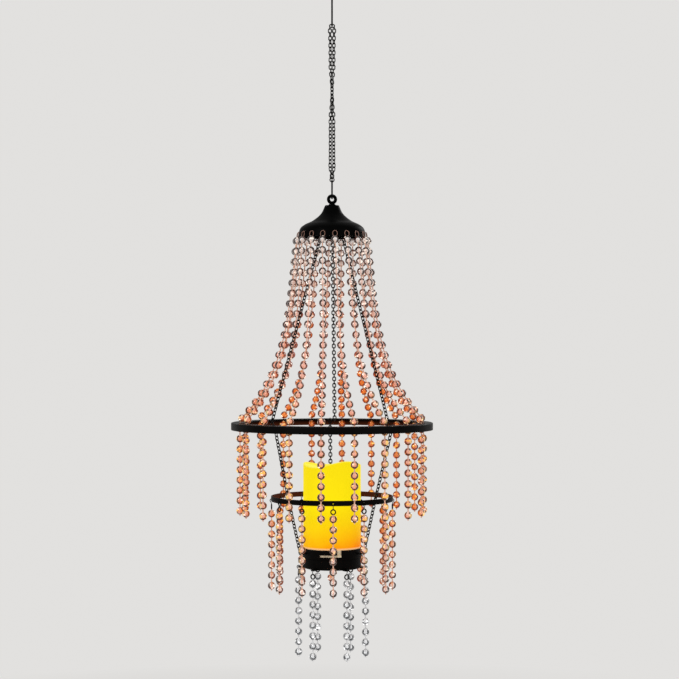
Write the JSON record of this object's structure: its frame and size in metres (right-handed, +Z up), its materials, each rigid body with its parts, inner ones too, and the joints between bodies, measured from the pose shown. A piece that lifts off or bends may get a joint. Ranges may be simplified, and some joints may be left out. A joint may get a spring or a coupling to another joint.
{
  "type": "beaded chandelier",
  "caption": "Hanging chandelier of clear faceted bead strands on black rings, round a pillar candle with an electric light in a black cup.",
  "frame": {"origin": "seat inside the bend of the hanger hook, where the lamp hangs on a ceiling hook", "axes": "+Z up, -Y towards the front, +X to the right seen from the front"},
  "size_m": [0.2646, 0.265, 0.8729],
  "materials": {
    "black_steel": "satin black paint",
    "chain_steel": "black plated steel",
    "clear_bead": "clear faceted acrylic",
    "wax": "soft wax, lit from inside",
    "ivory_plastic": "satin moulded",
    "green_board": "circuit board",
    "cell_sleeve": "printed sleeve without text",
    "switch_plastic": "fine grain"
  },
  "bodies": {
    "hanger": {"hanger_hook": "black_steel"},
    "chain": {"hanging_chain": "chain_steel"},
    "link": {"join_link": "chain_steel"},
    "hook": {"s_hook": "black_steel"},
    "lamp": {"crown_eye": "black_steel", "crown_cap": "black_steel", "crown_nut": "black_steel", "large_ring": "black_steel", "small_ring": "black_steel", "upper_chain_left": "chain_steel", "upper_chain_right": "chain_steel", "upper_chain_back": "chain_steel", "lower_chain_left": "chain_steel", "lower_chain_right": "chain_steel", "lower_chain_back": "chain_steel", "candle_cup": "black_steel", "long_strand_01": "clear_bead", "long_strand_02": "clear_bead", "long_strand_03": "clear_bead", "long_strand_04": "clear_bead", "long_strand_05": "clear_bead", "long_strand_06": "clear_bead", "long_strand_07": "clear_bead", "long_strand_08": "clear_bead", "long_strand_09": "clear_bead", "long_strand_10": "clear_bead", "long_strand_11": "clear_bead", "long_strand_12": "clear_bead", "long_strand_13": "clear_bead", "long_strand_14": "clear_bead", "long_strand_15": "clear_bead", "long_strand_16": "clear_bead", "long_strand_17": "clear_bead", "long_strand_18": "clear_bead"},
    "candle": {"candle_base": "ivory_plastic", "light_board": "green_board", "battery_left": "cell_sleeve", "battery_right": "cell_sleeve", "battery_cover": "ivory_plastic"},
    "shell": {"candle_shell": "wax"},
    "switch": {"power_switch": "switch_plastic"},
    "ring_strand_01": {"ring_strand_01": "clear_bead"},
    "ring_strand_02": {"ring_strand_02": "clear_bead"},
    "ring_strand_03": {"ring_strand_03": "clear_bead"},
    "ring_strand_04": {"ring_strand_04": "clear_bead"},
    "ring_strand_05": {"ring_strand_05": "clear_bead"},
    "ring_strand_06": {"ring_strand_06": "clear_bead"},
    "ring_strand_07": {"ring_strand_07": "clear_bead"},
    "ring_strand_08": {"ring_strand_08": "clear_bead"},
    "ring_strand_09": {"ring_strand_09": "clear_bead"},
    "ring_strand_10": {"ring_strand_10": "clear_bead"},
    "ring_strand_11": {"ring_strand_11": "clear_bead"},
    "ring_strand_12": {"ring_strand_12": "clear_bead"},
    "cup_strand_01": {"cup_strand_01": "clear_bead"},
    "cup_strand_02": {"cup_strand_02": "clear_bead"},
    "cup_strand_03": {"cup_strand_03": "clear_bead"},
    "cup_strand_04": {"cup_strand_04": "clear_bead"},
    "cup_strand_05": {"cup_strand_05": "clear_bead"},
    "cup_strand_06": {"cup_strand_06": "clear_bead"}
  },
  "joints": [
    {"name": "chain_swing", "type": "hinge", "parent": "hanger", "child": "chain", "pos_m": [0, 0, -0.0412], "axis": [0, 1, 0], "range_deg": [-20, 20]},
    {"name": "lamp_turn", "type": "hinge", "parent": "chain", "child": "link", "pos_m": [0, 0, -0.24298], "axis": [0, 0, 1], "range_deg": [-15, 15]},
    {"name": "hook_swing", "type": "hinge", "parent": "link", "child": "hook", "pos_m": [0, 0, -0.24568], "axis": [1, 0, 0], "range_deg": [-20, 20]},
    {"name": "lamp_swing", "type": "hinge", "parent": "hook", "child": "lamp", "pos_m": [0, 0, -0.26748], "axis": [0, 1, 0], "range_deg": [-15, 15]},
    {"name": "candle_twist", "type": "hinge", "parent": "lamp", "child": "candle", "pos_m": [0, 0, -0.72518], "axis": [0, 0, 1], "range_deg": [-34, 0]},
    {"name": "shell_lift", "type": "slide", "parent": "candle", "child": "shell", "axis": [0, 0, 1], "range_m": [0, 0.05]},
    {"name": "switch_slide", "type": "slide", "parent": "candle", "child": "switch", "axis": [0, 1, 0], "range_m": [0, 0.004]},
    {"name": "ring_strand_01_swing", "type": "hinge", "parent": "lamp", "child": "ring_strand_01", "pos_m": [0.0018, -0.07923, -0.66328], "axis": [-0.9997, -0.0227, 0], "range_deg": [-8, 15]},
    {"name": "ring_strand_02_swing", "type": "hinge", "parent": "lamp", "child": "ring_strand_02", "pos_m": [0.04117, -0.06772, -0.66328], "axis": [-0.8545, -0.5195, 0], "range_deg": [-8, 15]},
    {"name": "ring_strand_03_swing", "type": "hinge", "parent": "lamp", "child": "ring_strand_03", "pos_m": [0.06951, -0.03806, -0.66328], "axis": [-0.4802, -0.8771, 0], "range_deg": [-8, 15]},
    {"name": "ring_strand_04_swing", "type": "hinge", "parent": "lamp", "child": "ring_strand_04", "pos_m": [0.07923, 0.0018, -0.66328], "axis": [0.0227, -0.9997, 0], "range_deg": [-8, 15]},
    {"name": "ring_strand_05_swing", "type": "hinge", "parent": "lamp", "child": "ring_strand_05", "pos_m": [0.06772, 0.04117, -0.66328], "axis": [0.5195, -0.8545, 0], "range_deg": [-8, 15]},
    {"name": "ring_strand_06_swing", "type": "hinge", "parent": "lamp", "child": "ring_strand_06", "pos_m": [0.03806, 0.06951, -0.66328], "axis": [0.8771, -0.4802, 0], "range_deg": [-8, 15]},
    {"name": "ring_strand_07_swing", "type": "hinge", "parent": "lamp", "child": "ring_strand_07", "pos_m": [-0.0018, 0.07923, -0.66328], "axis": [0.9997, 0.0227, 0], "range_deg": [-8, 15]},
    {"name": "ring_strand_08_swing", "type": "hinge", "parent": "lamp", "child": "ring_strand_08", "pos_m": [-0.04117, 0.06772, -0.66328], "axis": [0.8545, 0.5195, 0], "range_deg": [-8, 15]},
    {"name": "ring_strand_09_swing", "type": "hinge", "parent": "lamp", "child": "ring_strand_09", "pos_m": [-0.06951, 0.03806, -0.66328], "axis": [0.4802, 0.8771, 0], "range_deg": [-8, 15]},
    {"name": "ring_strand_10_swing", "type": "hinge", "parent": "lamp", "child": "ring_strand_10", "pos_m": [-0.07923, -0.0018, -0.66328], "axis": [-0.0227, 0.9997, 0], "range_deg": [-8, 15]},
    {"name": "ring_strand_11_swing", "type": "hinge", "parent": "lamp", "child": "ring_strand_11", "pos_m": [-0.06772, -0.04117, -0.66328], "axis": [-0.5195, 0.8545, 0], "range_deg": [-8, 15]},
    {"name": "ring_strand_12_swing", "type": "hinge", "parent": "lamp", "child": "ring_strand_12", "pos_m": [-0.03806, -0.06951, -0.66328], "axis": [-0.8771, 0.4802, 0], "range_deg": [-8, 15]},
    {"name": "cup_strand_01_swing", "type": "hinge", "parent": "lamp", "child": "cup_strand_01", "pos_m": [-0.0246, -0.03648, -0.75073], "axis": [-0.829, 0.5592, 0], "range_deg": [-12, 8]},
    {"name": "cup_strand_02_swing", "type": "hinge", "parent": "lamp", "child": "cup_strand_02", "pos_m": [0.01929, -0.03955, -0.75073], "axis": [-0.8988, -0.4384, 0], "range_deg": [-12, 8]},
    {"name": "cup_strand_03_swing", "type": "hinge", "parent": "lamp", "child": "cup_strand_03", "pos_m": [0.04389, -0.00307, -0.75073], "axis": [-0.0698, -0.9976, 0], "range_deg": [-12, 8]},
    {"name": "cup_strand_04_swing", "type": "hinge", "parent": "lamp", "child": "cup_strand_04", "pos_m": [0.0246, 0.03648, -0.75073], "axis": [0.829, -0.5592, 0], "range_deg": [-12, 8]},
    {"name": "cup_strand_05_swing", "type": "hinge", "parent": "lamp", "child": "cup_strand_05", "pos_m": [-0.01929, 0.03955, -0.75073], "axis": [0.8988, 0.4384, 0], "range_deg": [-12, 8]},
    {"name": "cup_strand_06_swing", "type": "hinge", "parent": "lamp", "child": "cup_strand_06", "pos_m": [-0.04389, 0.00307, -0.75073], "axis": [0.0698, 0.9976, 0], "range_deg": [-12, 8]}
  ]
}
